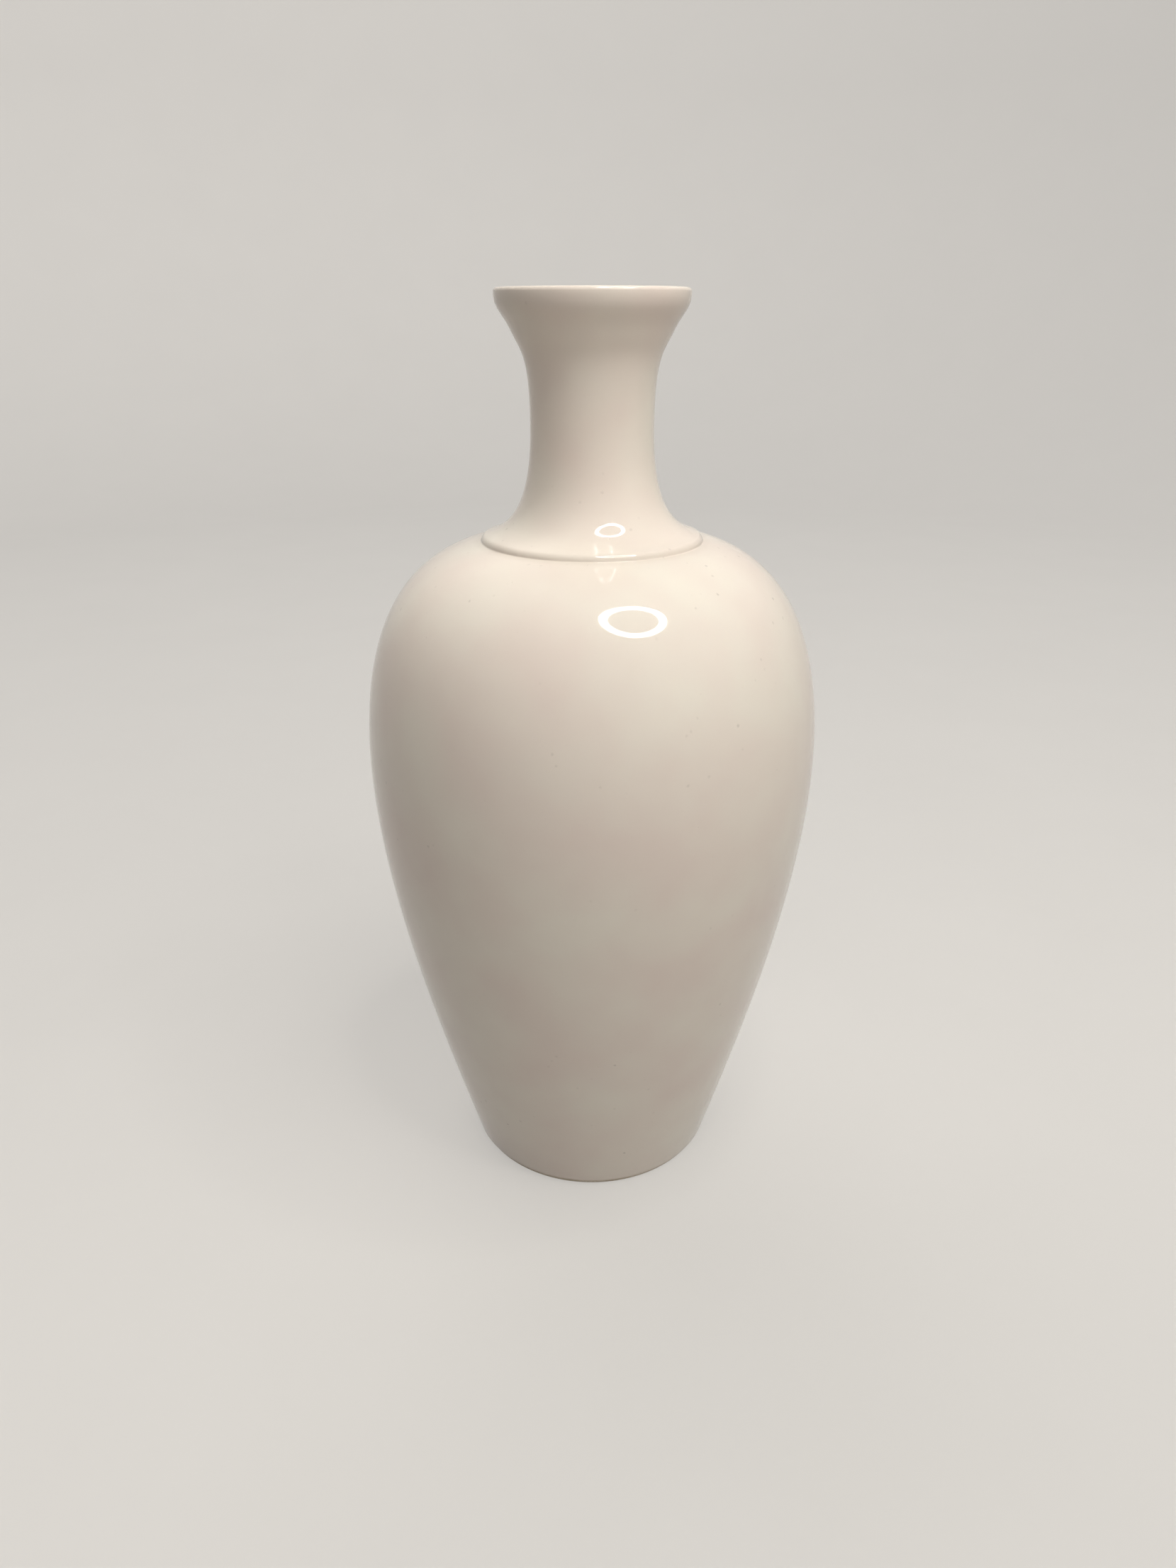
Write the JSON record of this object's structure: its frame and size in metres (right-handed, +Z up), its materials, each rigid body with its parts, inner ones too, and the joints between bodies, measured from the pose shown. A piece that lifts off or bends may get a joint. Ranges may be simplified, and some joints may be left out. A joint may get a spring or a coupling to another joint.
{
  "type": "meiping vase",
  "caption": "White glazed porcelain vase with a tapering body, broad round shoulder, stepped collar and slender flared neck, for holding flower stems.",
  "frame": {"origin": "centre of the foot ring, on the plane that the vase stands on", "axes": "+Z up along the axis that every piece is turned about; X and Y are alike"},
  "size_m": [0.1006, 0.1006, 0.2],
  "materials": {
    "porcelain_body": "fired bare porcelain, matt and fine-grained",
    "luting_slip": "fired slip of the same clay",
    "white_glaze": "glossy warm white glaze"
  },
  "bodies": {
    "root": {"neck_section": "porcelain_body", "shoulder_section": "porcelain_body", "lower_body_section": "porcelain_body", "base_section": "porcelain_body", "neck_slip_joint": "luting_slip", "belly_slip_joint": "luting_slip", "base_slip_joint": "luting_slip", "outer_glaze": "white_glaze", "inner_glaze": "white_glaze", "base_glaze": "white_glaze"}
  },
  "joints": []
}
